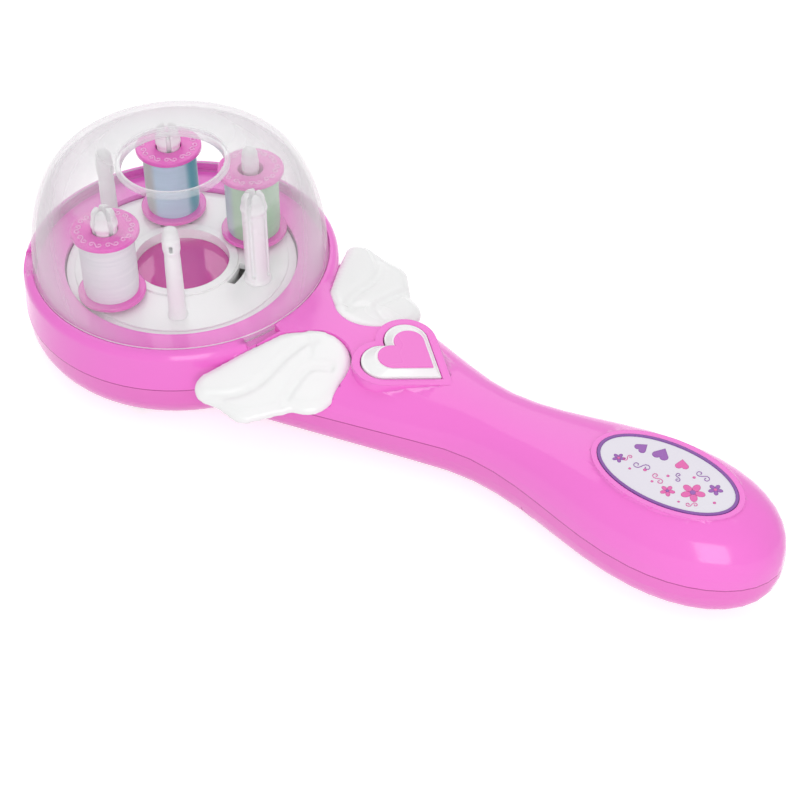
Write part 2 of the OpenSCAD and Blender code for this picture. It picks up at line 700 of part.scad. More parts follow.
module gear_plate() {
  color(white) translate([0, 0, axle_low]) difference() {
    union() {
      cylinder(r = plate_post_circle + plate_post_r, h = plate_t, $fn = 96);
      translate([0, -plate_arm_y[1], 0]) cube([motor_far + 3.2, 2 * plate_arm_y[1], plate_t]);
    }
    translate([0, 0, -1]) cylinder(r = hub_out + 0.7, h = plate_t + 2, $fn = 96);
    translate([pinion_x - crown_face - 3, -plate_arm_y[0], -1]) cube([100, 2 * plate_arm_y[0], plate_t + 2]);
    for (p = plate_screws_at) translate([p.x, p.y, -1]) cylinder(r = 1.1, h = plate_t + 2);
    for (x = [idler_x, crown_x]) translate([x, 0, -1]) cylinder(r = axle_r, h = plate_t + 2);
  }
}
module plate_screws() {
  color(steel) for (p = plate_screws_at) translate([p.x, p.y, plate_z + 1.2]) mirror([0, 0, 1]) {
    cylinder(r = 2, h = 1.2);
    cylinder(r = 1, h = 8);
  }
}
module idler_gear() {
  color(white) translate([idler_x, 0, 0]) difference() {
    union() {
      translate([0, 0, gear_low]) gear(wheel_teeth, wheel_mod, wheel_top - gear_low, 0, [-1.2, 0, 0.95]);
      translate([0, 0, wheel_top - tiny])
        gear(pinion_teeth, ring_mod, disc_low - 0.3 - wheel_top, half_pitch + half_pitch / pinion_teeth);
    }
    translate([0, 0, gear_low - 1]) cylinder(r = axle_r + run, h = through);
  }
}
module idler_axle() {
  color(steel) translate([idler_x, 0, axle_low]) cylinder(r = axle_r, h = disc_low - 0.3 - axle_low);
}
module crown_gear() {
  tooth = PI * crown_mod / 2 - backlash;
  root = 1.25 * crown_mod;
  lean = tan(gear_angle);
  color(white) translate([crown_x, 0, 0]) difference() {
    union() {
      translate([0, 0, gear_low]) gear(pinion_teeth, wheel_mod, wheel_top - gear_low,
        half_pitch + half_pitch / pinion_teeth);
      translate([0, 0, gear_low]) cylinder(r = pitch_r(pinion_teeth, wheel_mod) - wheel_mod, h = crown_low - gear_low);
      translate([0, 0, crown_low]) cylinder(r = crown_r + crown_face + 0.2, h = crown_t);
      for (k = [0:crown_teeth - 1]) rotate([0, 0, 360 * (k + 0.5) / crown_teeth])
        translate([crown_r - crown_face, 0, mesh_z]) rotate([90, 0, 90]) linear_extrude(height = 2 * crown_face)
          polygon([[-tooth / 2 - root * lean, root + tiny], [-tooth / 2 + crown_mod * 0.9 * lean, -crown_mod * 0.9],
            [tooth / 2 - crown_mod * 0.9 * lean, -crown_mod * 0.9], [tooth / 2 + root * lean, root + tiny]]);
    }
    translate([0, 0, gear_low - 1]) cylinder(r = axle_r + run, h = through);
  }
}
module crown_axle() {
  color(steel) translate([crown_x, 0, axle_low]) cylinder(r = axle_r, h = seat_z - wall - axle_low - 0.2);
}
module along_motor(x) { translate([x, 0, motor_z]) rotate([0, 90, 0]) children(); }
module motor_pinion() {
  color("#d9c27a") along_motor(pinion_x - pinion_l / 2) difference() {
    gear(motor_teeth, crown_mod, pinion_l, 180, [-1.15, -0.5, 0.2, 0.9]);
    translate([0, 0, -1]) cylinder(r = axle_r, h = pinion_l + 2);
  }
}
module motor_shaft() {
  color(steel) along_motor(pinion_x - pinion_l / 2)
    cylinder(r = axle_r, h = motor_x + shaft_in - pinion_x + pinion_l / 2);
}
module motor_can() {
  color(steel) difference() {
    union() {
      intersection() {
        along_motor(motor_x) cylinder(r = motor_d / 2, h = motor_l - cap_l, $fn = 96);
        translate([motor_x, -motor_d, motor_z - motor_flat / 2]) cube([motor_l, 2 * motor_d, motor_flat]);
      }
      along_motor(motor_x - 1.6) cylinder(r = 3, h = 2);
    }
    along_motor(motor_x - 2) cylinder(r = axle_r + run, h = shaft_in + 3);
  }
}
module motor_end_cap() {
  color(black) intersection() {
    along_motor(motor_far - cap_l) cylinder(r = motor_d / 2 - 0.5, h = cap_l, $fn = 96);
    translate([motor_x, -motor_d, motor_z - motor_flat / 2 + 0.5]) cube([motor_l, 2 * motor_d, motor_flat - 1]);
  }
}
module motor_strap() {
  strap_x = motor_far - cap_l - strap_w - 0.3;
  leg = plate_arm_y[0] + 0.2;
  top = motor_z + motor_flat / 2;
  color(steel) translate([strap_x, 0, 0]) for (s = [0, 1]) mirror([0, s, 0]) {
    translate([0, -tiny, top]) cube([strap_w, leg + 1 + tiny, 1]);
    translate([0, leg, plate_z]) cube([strap_w, 1, top - plate_z + tiny]);
    translate([0, leg, plate_z]) cube([strap_w, plate_arm_y[1] - leg, 1]);
  }
}

// ---------- heart button and switch ----------
// A slice of the heart's outline, seen from the pad: from z0 up by h, and past x0 only.
module heart_slice(grow, z0, h, x0) {
  intersection() {
    translate([0, 0, z0]) linear_extrude(height = h) heart_shape(grow);
    translate([x0, -25, z0 - 1]) cube([50, 50, h + 2]);
  }
}
module heart_button() {
  middle = heart_l / 2;
  color(white) union() {
    on_pad() {
      translate([middle, 0, 0]) linear_extrude(height = heart_h - cap_t, scale = button_top_scale)
        translate([-middle, 0]) heart_shape();
      translate([0, 0, -button_t]) linear_extrude(height = button_t + 0.5) heart_shape(-fit);
      // lip that keeps the button in the shell, and the step above it
      heart_slice(1 + gap, -lip_low, lip_t, lip_from);
      heart_slice(-1, -lip_low + 0.5, lip_low - button_t, lip_from);
    }
    translate([switch_x, 0, spring_top]) cylinder(r = spring_seat_r, h = deck_z - button_t - spring_top);
    translate([switch_x, 0, plunger_top + 0.05]) cylinder(r = stem_r, h = deck_z - button_t - plunger_top);
  }
}
module heart_cap() {
  middle = heart_l / 2;
  color(pink) on_pad() translate([middle, 0, heart_h - cap_t]) scale(button_top_scale * 0.93)
    linear_extrude(height = cap_t / button_top_scale) translate([-middle, 0]) heart_shape();
}
module button_spring() {
  turns = 3;
  h = spring_top - switch_top - 2 * spring_wire;
  color(steel) translate([switch_x, 0, switch_top + spring_wire])
    bar(helix(spring_r, h, turns, 14), spring_wire - 0.02);
}
module switch_body() {
  color(black) difference() {
    translate([switch_x - switch_w / 2, -switch_w / 2, board_z]) cube([switch_w, switch_w, switch_h]);
    translate([switch_x, 0, board_z + 1.4]) cylinder(r = plunger_r + run, h = switch_h);
  }
}
module switch_plunger() {
  color(hot_pink) translate([switch_x, 0, board_z + 1.4 + press + 0.2])
    cylinder(r = plunger_r, h = plunger_top - board_z - 1.6 - press);
}
module switch_board() {
  color("#7a5a2e") translate([switch_x - 8, -8, board_z - board_t]) cube([16, 16, board_t]);
}

// ---------- wings and badge ----------
module wing(s) {
  color(white) mirror([0, s < 0 ? 1 : 0, 0]) {
    wing_layer(0, wing_t, 0);
    wing_layer(-wing_rim, wing_t / 2, wing_rise);
    translate([peg_at.x, peg_at.y, peg_low]) cylinder(r = peg_r, h = peg_h);
  }
}
module badge_plate() {
  color("#ebe4ef") translate([badge_x, 0, badge_z - badge_t])
    oval(badge_a - rim_w, badge_b - rim_w, badge_t);
}
module badge_rim() {
  color("#8d6bb5") translate([badge_x, 0, badge_z - badge_t]) difference() {
    oval(badge_a, badge_b, badge_t + 0.2);
    translate([0, 0, -1]) oval(badge_a - rim_w + 0.01, badge_b - rim_w + 0.01, 5);
  }
}

// ---------- batteries ----------
module battery(s) {
  color("#3f6fb0") translate([cell_x, s * cell_y, cell_z]) mirror([s < 0 ? 1 : 0, 0, 0])
    translate([s < 0 ? -cell_l : 0, 0, 0]) rotate([0, 90, 0]) {
      cylinder(r = cell_r, h = cell_l - nub_l);
      cylinder(r = nub_r, h = cell_l);
    }
}
module battery_holder() {
  front = cell_x - contact_gap - contact_t;
  back = cell_end + contact_gap + contact_t;
  color(deep_pink) difference() {
    union() {
      translate([front - 1, -holder_w, cell_z]) cube([holder_end - front + 1, 2 * holder_w, roof_top - cell_z]);
      translate([back, -10, cell_z - 4]) cube([holder_end - back, 20, 5]);
      translate([front - 2, -9, cell_z - 4]) cube([2, 18, roof_top - cell_z + 4]);
      translate([holder_x, -7, cell_z - 3]) cube([front - holder_x, 14, roof_top - cell_z + 3]);
      translate([holder_x, -4, seam_z - neck_low + wall + 0.35]) cube([8, 8, cell_z]);
      translate([door_screw_x, 0, door_seat + screw_head_h]) cylinder(r = 3.6, h = 5);
    }
    translate([front, -holder_w + holder_side, cell_z - 10])
      cube([back - front, 2 * (holder_w - holder_side), roof_low - cell_z + 10]);
    translate([door_screw_x, 0, 0]) cylinder(r = screw_r + 0.05, h = 14);
    for (p = [lead_end, other_side(lead_end)]) translate(p) rotate([0, -90, 0])
      translate([0, 0, -5]) cylinder(r = lead_r + 0.2, h = 10);
  }
}
module cone_spring() {
  turns = 4;
  n = turns * 14;
  h = contact_gap - 2 * spring_wire;
  translate([0, 0, spring_wire]) bar([for (i = [0:n]) let (a = 360 * i / 14, r = 4.6 - 2.2 * i / n)
    [r * cos(a), r * sin(a), h * i / n]], spring_wire);
}
module contact_spring_1() {
  color(steel) translate([cell_x - contact_gap, cell_y, cell_z]) rotate([0, 90, 0]) cone_spring();
}
module contact_spring_2() {
  color(steel) translate([cell_end + contact_gap, -cell_y, cell_z]) rotate([0, -90, 0]) cone_spring();
}
module nub_contact(side) {
  rotate([0, 90 * side, 0]) cylinder(r1 = 3.4, r2 = 2.4, h = contact_gap - 0.05);
}
module contact_link() {
  color(steel) {
    translate([cell_end + contact_gap, -cell_y - 5, cell_z - 5]) cube([contact_t, 2 * cell_y + 10, 10]);
    translate([cell_end + contact_gap, cell_y, cell_z]) nub_contact(-1);
  }
}
module contact_tabs() {
  color(steel) {
    for (s = [-1, 1]) translate([cell_x - contact_gap - contact_t, s * cell_y - 5, cell_z - 5])
      cube([contact_t, 10, 10]);
    translate([cell_x - contact_gap, -cell_y, cell_z]) nub_contact(1);
  }
}
module battery_door() {
  color(deep_pink) difference() {
    union() {
      intersection() {
        lower_blank();
        door_cut(door_gap);
      }
      translate([door_screw_x, 0, 2]) cylinder(r = 3.6, h = door_seat + screw_head_h - 2.2);
    }
    translate([door_screw_x, 0, -1]) cylinder(r = screw_head_r + 0.1, h = door_seat + 1);
    translate([door_screw_x, 0, -1]) cylinder(r = screw_r + 0.05, h = 14);
  }
}
module door_screw() { color(steel) translate([door_screw_x, 0, door_seat - screw_head_h]) screw(8.5); }
module shell_screws() {
  color(steel) for (p = screw_places) translate([p.x, p.y, screw_seat]) screw(screw_top - screw_seat - 1.5);
}

// ---------- leads inside the handle ----------
// Routes of the leads: round numbers, from the batteries to the switch and the motor.
lead_r = 0.7;
lead_end = [cell_x - contact_gap - contact_t - 0.6, 8, cell_z + 0.6];
function other_side(p) = [p.x, -p.y, p.z];
module lead(path) { bar(path, lead_r); }
module battery_lead() {
  color("#c03030") lead([lead_end, lead_end - [2.4, 0, 0], [155.6, 9.6, 14], [152.6, 10.9, 16], [144, 10.3, 18], [135, 9.6, 19],
    [126, 9.2, 19.5], [117, 9.4, 19], [112, 9, 17], [109, 8.2, 15.4], [106.6, 6.8, 14.8]]);
}
module switch_lead() {
  color("#c03030") lead([[98, -6, 14.8], [96, -7, 15.6], [94.6, -7, 17.2], [93.4, -6, 18.6], [92.1, -5, 19.2]]);
}
module motor_lead() {
  color(black) lead([other_side(lead_end), other_side(lead_end - [2.4, 0, 0]), [155.6, -9.6, 14], [152.6, -10.9, 16], [144, -10.3, 18], [135, -9.6, 19],
    [126, -9.2, 19.5], [117, -9.8, 20], [108, -10, 21], [100, -8.6, 21.6], [95, -5, 21.4], [92.1, -1, 21]]);
}

upper_shell();
lower_shell();
dome_cover();
carrier_disc();
drive_ring();
spool_post(0);  // spool_post_1
spool_post(1);  // spool_post_2
spool_post(2);  // spool_post_3
guide_post(0);  // guide_post_1
guide_post(1);  // guide_post_2
guide_post(2);  // guide_post_3
spool(0);  // spool_1
spool(1);  // spool_2
spool(2);  // spool_3
thread(0);  // thread_1
thread(1);  // thread_2
thread(2);  // thread_3
centre_cup();
cup_screws();
gear_plate();
plate_screws();
idler_gear();
idler_axle();
crown_gear();
crown_axle();
motor_pinion();
motor_shaft();
motor_can();
motor_end_cap();
motor_strap();
heart_button();
heart_cap();
button_spring();
switch_body();
switch_plunger();
switch_board();
wing(-1);  // near_wing
wing(1);  // far_wing
badge_plate();
badge_rim();
battery(1);  // battery_1
battery(-1);  // battery_2
battery_holder();
contact_spring_1();
contact_spring_2();
contact_link();
contact_tabs();
battery_door();
door_screw();
shell_screws();
battery_lead();
switch_lead();
motor_lead();
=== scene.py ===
# The look of the hair braider: glossy pink shells, a clear dome over a white carrier with three
# spools, white wings and a heart button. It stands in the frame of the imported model, in metres. The sizes below are in
# millimetres, and MM turns them into metres.
import json
import bpy
from math import asin, atan, atan2, cos, hypot, pi, radians, sin, sqrt
from mathutils import Matrix, Vector

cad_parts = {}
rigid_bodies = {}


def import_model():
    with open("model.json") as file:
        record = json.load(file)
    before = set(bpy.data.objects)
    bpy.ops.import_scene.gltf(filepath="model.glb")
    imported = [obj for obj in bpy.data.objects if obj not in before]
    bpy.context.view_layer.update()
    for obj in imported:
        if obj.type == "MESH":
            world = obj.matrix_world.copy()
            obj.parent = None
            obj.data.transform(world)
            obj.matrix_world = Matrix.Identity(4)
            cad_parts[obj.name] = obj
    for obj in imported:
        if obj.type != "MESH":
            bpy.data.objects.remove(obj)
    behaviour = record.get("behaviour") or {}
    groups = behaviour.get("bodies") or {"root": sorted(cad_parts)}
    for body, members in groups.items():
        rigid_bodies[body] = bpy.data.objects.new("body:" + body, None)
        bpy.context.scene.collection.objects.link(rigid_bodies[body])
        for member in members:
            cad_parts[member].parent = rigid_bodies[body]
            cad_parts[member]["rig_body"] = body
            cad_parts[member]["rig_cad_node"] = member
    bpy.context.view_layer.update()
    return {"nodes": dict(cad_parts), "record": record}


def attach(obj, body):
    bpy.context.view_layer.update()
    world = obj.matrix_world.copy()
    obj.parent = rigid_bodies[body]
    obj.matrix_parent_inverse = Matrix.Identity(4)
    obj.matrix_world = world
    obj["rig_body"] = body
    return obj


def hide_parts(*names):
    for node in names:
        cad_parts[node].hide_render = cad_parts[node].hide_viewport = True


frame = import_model()
nodes = frame["nodes"]
MM = 0.001
SEAM_Z = 17.0
SAME_PLACE = 1e-6      # corners nearer than this are one, in metres
FLAT = 0.3             # degrees between faces that count as one flat face


# ---------- handling objects ----------
def only(obj):
    """Selects this object alone."""
    if bpy.context.object and bpy.context.object.mode != "OBJECT":
        bpy.ops.object.mode_set(mode="OBJECT")
    bpy.ops.object.select_all(action="DESELECT")
    obj.select_set(True)
    bpy.context.view_layer.objects.active = obj


def added(name):
    """Names the primitive that was just added."""
    obj = bpy.context.object
    obj.name = name
    obj.data.name = name
    return obj


def edit(obj, kind="FACE", chosen=None):
    """Opens a mesh for editing, with all of it selected or the faces whose centre passes a test."""
    only(obj)
    bpy.ops.object.mode_set(mode="EDIT")
    bpy.ops.mesh.select_mode(type=kind)
    bpy.ops.mesh.select_all(action="DESELECT" if chosen else "SELECT")
    if chosen:
        bpy.ops.object.mode_set(mode="OBJECT")
        for face in obj.data.polygons:
            face.select = chosen(face.center)
        bpy.ops.object.mode_set(mode="EDIT")


def done():
    bpy.ops.object.mode_set(mode="OBJECT")


def settle(obj):
    """Puts an object's place, turn and size into its mesh."""
    only(obj)
    bpy.ops.object.transform_apply(location=True, rotation=True, scale=True)


def apply_all(obj):
    only(obj)
    for live in list(obj.modifiers):
        bpy.ops.object.modifier_apply(modifier=live.name)


def rounded(obj, width, steps=3, angle=35):
    """Rounds the edges that are sharper than an angle."""
    live = obj.modifiers.new("round edges", "BEVEL")
    live.width = width * MM
    live.segments = steps
    live.limit_method = "ANGLE"
    live.angle_limit = radians(angle)
    apply_all(obj)


def smooth(obj, angle=35):
    only(obj)
    bpy.ops.object.shade_smooth_by_angle(angle=radians(angle))


def joined(first, *others):
    only(first)
    for obj in others:
        obj.select_set(True)
    bpy.ops.object.join()
    return first


def polished(node, angle=30):
    """A copy of a CAD piece with its triangles merged, so that its curved faces shade smoothly."""
    only(nodes[node])
    bpy.ops.object.duplicate()
    obj = added(node + "_smooth")
    obj.parent = None
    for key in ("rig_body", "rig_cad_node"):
        if key in obj:
            del obj[key]
    edit(obj, "VERT")
    bpy.ops.mesh.remove_doubles(threshold=2 * SAME_PLACE)
    bpy.ops.mesh.select_mode(type="FACE")
    bpy.ops.mesh.select_all(action="SELECT")
    bpy.ops.mesh.dissolve_limited(angle_limit=radians(FLAT))
    done()
    smooth(obj, angle)
    even = obj.modifiers.new("large faces stay flat", "WEIGHTED_NORMAL")
    even.weight = 100
    even.keep_sharp = True
    apply_all(obj)
    return obj


def spun(name, profile, sides, closed=False, caps=False):
    """A turned piece: a ring that is extruded from one radius and height to the next."""
    r, z = profile[0]
    bpy.ops.object.select_all(action="DESELECT")
    bpy.ops.mesh.primitive_circle_add(vertices=sides, radius=r * MM, location=(0, 0, z * MM),
                                      fill_type="NGON" if caps else "NOTHING")
    obj = added(name)
    settle(obj)
    edit(obj, "VERT")
    for r_next, z_next in profile[1:]:
        bpy.ops.mesh.extrude_region_move(TRANSFORM_OT_translate={"value": (0, 0, (z_next - z) * MM)})
        share = r_next / r
        bpy.ops.transform.resize(value=(share, share, 1), center_override=(0, 0, 0))
        r, z = r_next, z_next
    if closed:
        bpy.ops.mesh.select_all(action="SELECT")
        bpy.ops.mesh.remove_doubles(threshold=SAME_PLACE)
    elif caps:
        bpy.ops.mesh.edge_face_add()
    bpy.ops.mesh.select_all(action="SELECT")
    bpy.ops.mesh.normals_make_consistent(inside=False)
    done()
    return obj


def copied(obj, name):
    only(obj)
    bpy.ops.object.duplicate()
    return added(name)


def turned(obj, angle):
    """Turns a finished mesh about the upright axis of the disc."""
    obj.data.transform(Matrix.Rotation(radians(angle), 4, "Z"))


def wire(name, route, thick, smooth_route=True, sides=2):
    """A round wire along a route of five points or more, made as a path and turned into a mesh."""
    bpy.ops.object.select_all(action="DESELECT")
    bpy.ops.curve.primitive_nurbs_path_add(location=(0, 0, 0))
    obj = added(name)
    path = obj.data.splines[0]
    path.points.add(len(route) - len(path.points))
    for point, (x, y, z) in zip(path.points, route):
        point.co = (x * MM, y * MM, z * MM, 1)
    path.order_u = 4 if smooth_route else 2
    path.use_endpoint_u = True
    path.resolution_u = 6 if smooth_route else 1
    obj.data.bevel_depth = thick * MM
    obj.data.bevel_resolution = sides
    obj.data.use_fill_caps = True
    only(obj)
    bpy.ops.object.convert(target="MESH")
    return added(name)


def plate(name, outline, low, high):
    """A flat piece with the given outline, made as a closed path that is filled and turned into a mesh."""
    bpy.ops.object.select_all(action="DESELECT")
    bpy.ops.curve.primitive_nurbs_path_add(location=(0, 0, (low + high) / 2 * MM))
    obj = added(name)
    path = obj.data.splines[0]
    path.points.add(len(outline) - len(path.points))
    for point, (x, y) in zip(path.points, outline):
        point.co = (x * MM, y * MM, 0, 1)
    path.order_u = 2
    path.use_cyclic_u = True
    path.resolution_u = 1
    obj.data.dimensions = "2D"
    obj.data.fill_mode = "BOTH"
    obj.data.extrude = (high - low) / 2 * MM
    only(obj)
    bpy.ops.object.convert(target="MESH")
    obj = added(name)
    settle(obj)
    edit(obj, "VERT")
    bpy.ops.mesh.remove_doubles(threshold=SAME_PLACE)
    bpy.ops.mesh.select_mode(type="FACE")
    bpy.ops.mesh.select_all(action="SELECT")
    bpy.ops.mesh.dissolve_limited(angle_limit=radians(FLAT))
    bpy.ops.mesh.normals_make_consistent(inside=False)
    done()
    return obj


def less(obj, *cutters):
    """Cuts pieces out of another."""
    for cutter in cutters:
        cut = obj.modifiers.new("cut", "BOOLEAN")
        cut.object = cutter
        cut.solver = "EXACT"
        apply_all(obj)
        bpy.data.objects.remove(cutter)
    return obj


def box(name, place, size, turn=0.0):
    bpy.ops.object.select_all(action="DESELECT")
    bpy.ops.mesh.primitive_cube_add(size=1, location=[c * MM for c in place], scale=[c * MM for c in size],
                                    rotation=(0, 0, radians(turn)))
    obj = added(name)
    settle(obj)
    return obj


def melted(obj, voxel, steps, swell=0.0):
    """Turns a plain form with cuts into one with the soft edges of a moulding, and swells it a little."""
    melt = obj.modifiers.new("melt", "REMESH")
    melt.mode = "VOXEL"
    melt.voxel_size = voxel * MM
    soften = obj.modifiers.new("soften", "SMOOTH")
    soften.factor = 0.5
    soften.iterations = steps
    if swell:
        grown = obj.modifiers.new("swell", "DISPLACE")
        grown.strength = swell * MM
        grown.mid_level = 0.0
    apply_all(obj)
    only(obj)
    bpy.ops.object.shade_smooth()
    return obj


def dress_faces(obj, made, chosen):
    """Gives the faces whose centre passes a test a finish of their own."""
    obj.data.materials.append(made)
    edit(obj, "FACE", chosen)
    obj.active_material_index = len(obj.data.materials) - 1
    bpy.ops.object.material_slot_assign()
    done()


# ---------- camera, lamps and floor ----------
bpy.ops.object.camera_add()
camera = bpy.context.object
camera.name = "camera"
camera.matrix_world = Matrix(((0.8147, -0.3979, 0.4218, 0.3739), (0.5799, 0.5590, -0.5926, -0.3948),
                              (0.0, 0.7274, 0.6862, 0.4690), (0, 0, 0, 1)))
camera.data.lens = 90
camera.data.sensor_width = 36
camera.data.clip_start = 0.01
bpy.context.scene.camera = camera
bpy.context.scene.view_settings.view_transform = "Standard"


def softbox(name, place, aim, size, power):
    way = Vector(aim) - Vector(place)
    bpy.ops.object.light_add(type="AREA", location=place, rotation=way.to_track_quat("-Z", "Y").to_euler())
    lamp = bpy.context.object
    lamp.name = name
    lamp.data.shape = "RECTANGLE"
    lamp.data.size = size[0]
    lamp.data.size_y = size[1]
    lamp.data.energy = power


softbox("key softbox", (-0.35, 0.55, 0.95), (0.06, 0, 0.03), (1.5, 1.1), 4.3)
softbox("front softbox", (0.62, -0.66, 0.42), (0.1, 0, 0.03), (0.42, 0.8), 3.2)


def sees_backdrop(tree):
    """1 for a ray from the camera, a reflection or a clear piece, else 0."""
    path = tree.nodes.new("ShaderNodeLightPath")
    most = path.outputs["Is Camera Ray"]
    for kind in ("Is Glossy Ray", "Is Transmission Ray"):
        top = tree.nodes.new("ShaderNodeMath")
        top.operation = "MAXIMUM"
        tree.links.new(most, top.inputs[0])
        tree.links.new(path.outputs[kind], top.inputs[1])
        most = top.outputs[0]
    return most


world = bpy.data.worlds.new("studio")
bpy.context.scene.world = world
world.use_nodes = True
tree = world.node_tree
backdrop = tree.nodes["Background"]
backdrop.inputs["Color"].default_value = (1, 1, 1, 1)
level = tree.nodes.new("ShaderNodeMapRange")
level.inputs["To Min"].default_value = 0.6
level.inputs["To Max"].default_value = 1.0
tree.links.new(sees_backdrop(tree), level.inputs["Value"])
tree.links.new(level.outputs["Result"], backdrop.inputs["Strength"])

bpy.ops.mesh.primitive_plane_add(size=6, location=(0, 0, -0.0002))
floor = added("studio_floor")
edit(floor)
bpy.ops.mesh.subdivide(number_cuts=3)
done()
paper = bpy.data.materials.new("white paper")
paper.use_nodes = True
tree = paper.node_tree
tree.nodes["Principled BSDF"].inputs["Base Color"].default_value = (0.75, 0.75, 0.75, 1)
tree.nodes["Principled BSDF"].inputs["Roughness"].default_value = 0.9
tree.nodes["Principled BSDF"].inputs["Specular IOR Level"].default_value = 0.0
glow = tree.nodes.new("ShaderNodeEmission")
glow.inputs["Strength"].default_value = 0.62
both = tree.nodes.new("ShaderNodeAddShader")
either = tree.nodes.new("ShaderNodeMixShader")
tree.links.new(sees_backdrop(tree), either.inputs[0])
tree.links.new(tree.nodes["Principled BSDF"].outputs[0], both.inputs[0])
tree.links.new(glow.outputs[0], both.inputs[1])
tree.links.new(tree.nodes["Principled BSDF"].outputs[0], either.inputs[1])
tree.links.new(both.outputs[0], either.inputs[2])
tree.links.new(either.outputs[0], tree.nodes["Material Output"].inputs["Surface"])
floor.data.materials.append(paper)


# ---------- finishes ----------
def moulded_group():
    """Slow colour drift, roughness and fine grain of a moulded or rolled surface."""
    group = bpy.data.node_groups.new("moulded surface", "ShaderNodeTree")
    for name, value in (("Drift Scale", 30.0), ("Grain Scale", 2500.0), ("Rough Low", 0.2), ("Rough High", 0.3)):
        group.interface.new_socket(name, in_out="INPUT", socket_type="NodeSocketFloat").default_value = value
    for name in ("Drift", "Roughness", "Height"):
        group.interface.new_socket(name, in_out="OUTPUT", socket_type="NodeSocketFloat")
    take = group.nodes.new("NodeGroupInput")
    give = group.nodes.new("NodeGroupOutput")
    place = group.nodes.new("ShaderNodeTexCoord")
    drift = group.nodes.new("ShaderNodeTexNoise")
    drift.inputs["Detail"].default_value = 3
    grain = group.nodes.new("ShaderNodeTexNoise")
    grain.inputs["Detail"].default_value = 2
    for part, socket in ((drift, "Drift Scale"), (grain, "Grain Scale")):
        group.links.new(place.outputs["Object"], part.inputs["Vector"])
        group.links.new(take.outputs[socket], part.inputs["Scale"])
    rough = group.nodes.new("ShaderNodeMapRange")
    rough.inputs["From Min"].default_value = 0.3
    rough.inputs["From Max"].default_value = 0.7
    group.links.new(drift.outputs["Fac"], rough.inputs["Value"])
    group.links.new(take.outputs["Rough Low"], rough.inputs["To Min"])
    group.links.new(take.outputs["Rough High"], rough.inputs["To Max"])
    group.links.new(drift.outputs["Fac"], give.inputs["Drift"])
    group.links.new(rough.outputs["Result"], give.inputs["Roughness"])
    group.links.new(grain.outputs["Fac"], give.inputs["Height"])
    return group


def seam_group():
    """1 close to the height where the two shells meet, else 0."""
    group = bpy.data.node_groups.new("seam shadow", "ShaderNodeTree")
    group.interface.new_socket("Shade", in_out="OUTPUT", socket_type="NodeSocketFloat")
    give = group.nodes.new("NodeGroupOutput")
    place = group.nodes.new("ShaderNodeTexCoord")
    parts = group.nodes.new("ShaderNodeSeparateXYZ")
    group.links.new(place.outputs["Object"], parts.inputs["Vector"])
    near = group.nodes.new("ShaderNodeMath")
    near.operation = "COMPARE"
    near.inputs[1].default_value = SEAM_Z * MM
    near.inputs[2].default_value = 0.2 * MM
    group.links.new(parts.outputs["Z"], near.inputs[0])
    softer = group.nodes.new("ShaderNodeMath")
    softer.operation = "MULTIPLY"
    softer.inputs[1].default_value = 0.8
    group.links.new(near.outputs[0], softer.inputs[0])
    group.links.new(softer.outputs[0], give.inputs["Shade"])
    return group


moulded = moulded_group()
seam_shadow = seam_group()


def linear(red, green, blue):
    """A colour as the eye's scale of 0 to 255 gives it, in linear light."""
    shares = (red / 255, green / 255, blue / 255)
    return [c / 12.92 if c <= 0.04045 else ((c + 0.055) / 1.055) ** 2.4 for c in shares] + [1]


PLASTIC_IOR, COAT_ROUGH, GRAIN, GRAIN_DEPTH, GLOW_REACH = 1.48, 0.04, 0.02, 0.0002, 0.003


def finish(name, tone, tone_2=None, rough=(0.2, 0.3), edge=0.35, drift=30.0, metal=0.0, coat=0.0, seam=False,
           glow=0.0):
    """A finish with slow colour drift, fine grain and softened edges."""
    made = bpy.data.materials.new(name)
    made.use_nodes = True
    tree = made.node_tree
    shader = tree.nodes["Principled BSDF"]
    shader.inputs["Metallic"].default_value = metal
    shader.inputs["IOR"].default_value = PLASTIC_IOR
    shader.inputs["Coat Weight"].default_value = coat
    shader.inputs["Coat Roughness"].default_value = COAT_ROUGH
    if glow:
        shader.inputs["Subsurface Weight"].default_value = glow
        shader.inputs["Subsurface Radius"].default_value = (GLOW_REACH, GLOW_REACH, GLOW_REACH)
    surface = tree.nodes.new("ShaderNodeGroup")
    surface.node_tree = moulded
    surface.inputs["Drift Scale"].default_value = drift
    surface.inputs["Rough Low"].default_value = rough[0]
    surface.inputs["Rough High"].default_value = rough[1]
    blend = tree.nodes.new("ShaderNodeMix")
    blend.data_type = "RGBA"
    blend.inputs["A"].default_value = linear(*tone)
    blend.inputs["B"].default_value = linear(*(tone_2 or [min(255, c + 3) for c in tone]))
    tree.links.new(surface.outputs["Drift"], blend.inputs["Factor"])
    colour = blend.outputs["Result"]
    if seam:
        line = tree.nodes.new("ShaderNodeGroup")
        line.node_tree = seam_shadow
        shade = tree.nodes.new("ShaderNodeMix")
        shade.data_type = "RGBA"
        shade.inputs["B"].default_value = linear(172, 32, 128)
        tree.links.new(line.outputs["Shade"], shade.inputs["Factor"])
        tree.links.new(colour, shade.inputs["A"])
        colour = shade.outputs["Result"]
    tree.links.new(colour, shader.inputs["Base Color"])
    tree.links.new(surface.outputs["Roughness"], shader.inputs["Roughness"])
    bump = tree.nodes.new("ShaderNodeBump")
    bump.inputs["Strength"].default_value = GRAIN
    bump.inputs["Distance"].default_value = GRAIN_DEPTH
    tree.links.new(surface.outputs["Height"], bump.inputs["Height"])
    if edge:
        soft = tree.nodes.new("ShaderNodeBevel")
        soft.samples = 6
        soft.inputs["Radius"].default_value = edge * MM
        tree.links.new(soft.outputs["Normal"], bump.inputs["Normal"])
    tree.links.new(bump.outputs["Normal"], shader.inputs["Normal"])
    return made


